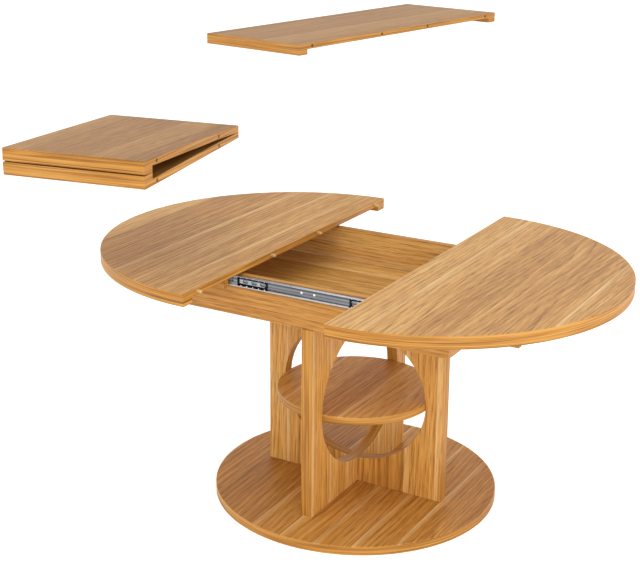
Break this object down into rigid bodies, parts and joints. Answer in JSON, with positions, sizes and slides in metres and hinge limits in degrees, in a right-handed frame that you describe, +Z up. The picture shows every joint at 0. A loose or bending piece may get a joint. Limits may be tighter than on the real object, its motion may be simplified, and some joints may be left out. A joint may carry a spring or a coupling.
{
  "type": "extending dining table",
  "caption": "Round oak extending table: half-tops on ball slides over a leaf box, a stand of crossing boards with oval openings, a round shelf and base, and folding leaves.",
  "frame": {"origin": "on the floor, at the middle of the base plate's underside", "axes": "+Z up, +X the way the right half-top slides out, +Y along the split, away from the viewer"},
  "size_m": [1.7557, 2.4986, 1.3],
  "materials": {
    "ball_steel": "polished",
    "beech_dowel": "bare turned wood",
    "bright_screw": "nickel plated",
    "cage_steel": "zinc plated sheet",
    "hinge_steel": "zinc plated",
    "oak_box": "satin oak laminate, grain along the box",
    "oak_edge": "satin oak edge",
    "oak_stand": "satin oak laminate, grain upright",
    "oak_top": "satin oak laminate, planked, grain along the split",
    "zinc_rail": "zinc plated sheet"
  },
  "bodies": {
    "stand": {"base_plate": "oak_top", "base_screws": "bright_screw", "box_corner_dowels": "beech_dowel", "box_dowels": "beech_dowel", "box_end_left": "oak_box", "box_end_right": "oak_box", "box_floor": "oak_box", "box_side_far": "oak_box", "box_side_near": "oak_box", "outer_rail_far": "zinc_rail", "outer_rail_near": "zinc_rail", "outer_rail_screws": "bright_screw", "round_shelf": "oak_top", "shelf_dowels": "beech_dowel", "stand_board_cross": "oak_stand", "stand_board_long": "oak_stand"},
    "left_top": {"left_edge_band": "oak_edge", "left_inner_rail_far": "zinc_rail", "left_inner_rail_near": "zinc_rail", "left_inner_rail_screws": "bright_screw", "left_pegs": "beech_dowel", "left_runner_far": "oak_box", "left_runner_near": "oak_box", "left_runner_screws": "bright_screw", "left_top_panel": "oak_top"},
    "right_top": {"right_edge_band": "oak_edge", "right_inner_rail_far": "zinc_rail", "right_inner_rail_near": "zinc_rail", "right_inner_rail_screws": "bright_screw", "right_runner_far": "oak_box", "right_runner_near": "oak_box", "right_runner_screws": "bright_screw", "right_top_panel": "oak_top"},
    "left_cages": {"left_ball_cage_near": "cage_steel", "left_ball_cage_far": "cage_steel", "left_balls": "ball_steel"},
    "right_cages": {"right_ball_cage_near": "cage_steel", "right_ball_cage_far": "cage_steel", "right_balls": "ball_steel"},
    "flat_leaf": {"flat_leaf_hinge_pins": "hinge_steel", "flat_leaf_near_batten": "oak_edge", "flat_leaf_near_hinge_plates": "hinge_steel", "flat_leaf_near_panel": "oak_top", "flat_leaf_near_pegs": "beech_dowel"},
    "flat_leaf_flap": {"flat_leaf_far_batten": "oak_edge", "flat_leaf_far_hinge_plates": "hinge_steel", "flat_leaf_far_panel": "oak_top", "flat_leaf_far_pegs": "beech_dowel"},
    "shut_leaf": {"shut_leaf_hinge_pins": "hinge_steel", "shut_leaf_lower_batten": "oak_edge", "shut_leaf_lower_hinge_plates": "hinge_steel", "shut_leaf_lower_panel": "oak_top", "shut_leaf_lower_pegs": "beech_dowel"},
    "shut_leaf_flap": {"shut_leaf_upper_batten": "oak_edge", "shut_leaf_upper_hinge_plates": "hinge_steel", "shut_leaf_upper_panel": "oak_top", "shut_leaf_upper_pegs": "beech_dowel"}
  },
  "joints": [
    {"name": "left_top_slide", "type": "slide", "parent": "stand", "child": "left_top", "axis": [-1, 0, 0], "range_m": [-0.2222, 0.02]},
    {"name": "right_top_slide", "type": "slide", "parent": "stand", "child": "right_top", "axis": [1, 0, 0], "range_m": [-0.2222, 0.02]},
    {"name": "left_cages_slide", "type": "slide", "parent": "stand", "child": "left_cages", "axis": [-1, 0, 0], "range_m": [-0.1115, 0.0105]},
    {"name": "right_cages_slide", "type": "slide", "parent": "stand", "child": "right_cages", "axis": [1, 0, 0], "range_m": [-0.1115, 0.0105]},
    {"name": "flat_leaf_lift", "type": "slide", "parent": "stand", "child": "flat_leaf", "axis": [0, 0, 1], "range_m": [0, 0.15]},
    {"name": "flat_leaf_fold", "type": "hinge", "parent": "flat_leaf", "child": "flat_leaf_flap", "pos_m": [-0.606, 1.114, 1.281], "axis": [-0.9833, 0.1822, 0], "range_deg": [0, 176.2]},
    {"name": "shut_leaf_lift", "type": "slide", "parent": "stand", "child": "shut_leaf", "axis": [0, 0, 1], "range_m": [0, 0.15]},
    {"name": "shut_leaf_open", "type": "hinge", "parent": "shut_leaf", "child": "shut_leaf_flap", "pos_m": [-0.58441, -0.12761, 1.121], "axis": [-0.988, -0.1547, 0], "range_deg": [0, 176.2]}
  ],
  "couplings": [
    {"joint": "left_cages_slide", "follows": "left_top_slide", "ratio": 0.5},
    {"joint": "right_cages_slide", "follows": "right_top_slide", "ratio": 0.5}
  ]
}
